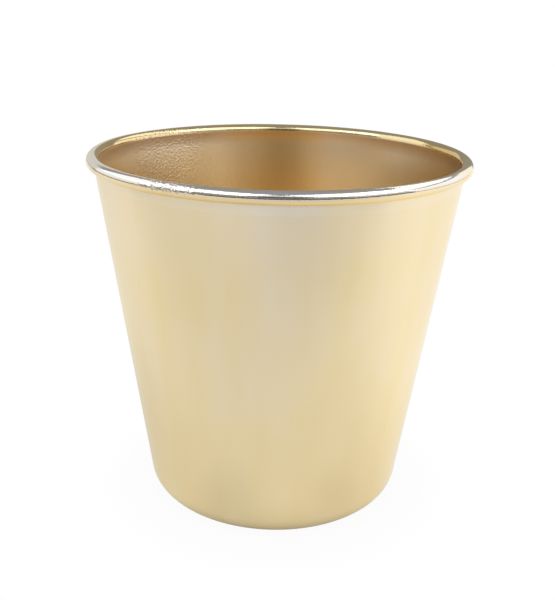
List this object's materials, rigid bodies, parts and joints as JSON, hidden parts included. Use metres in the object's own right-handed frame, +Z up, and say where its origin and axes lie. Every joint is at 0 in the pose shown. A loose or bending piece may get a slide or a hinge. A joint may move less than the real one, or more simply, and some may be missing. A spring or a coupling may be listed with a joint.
{
  "type": "cachepot",
  "caption": "Tapered round sheet-metal cachepot with a curled, wired rim and a raised panel in its base, which hides a plant's nursery pot.",
  "frame": {"origin": "on the pot's axis, in the plane that it stands on", "axes": "+Z up along the pot's axis, towards its mouth; +Y towards the ends of the rim's wire"},
  "size_m": [0.14, 0.14, 0.133],
  "materials": {
    "gold_lacquered_aluminium": "satin gold-tinted lacquer over bright aluminium, paler on the crown of the rim",
    "galvanised_wire": "drawn steel wire, galvanised"
  },
  "bodies": {
    "root": {"pot_shell": "gold_lacquered_aluminium", "rim_wire": "galvanised_wire"}
  },
  "joints": []
}
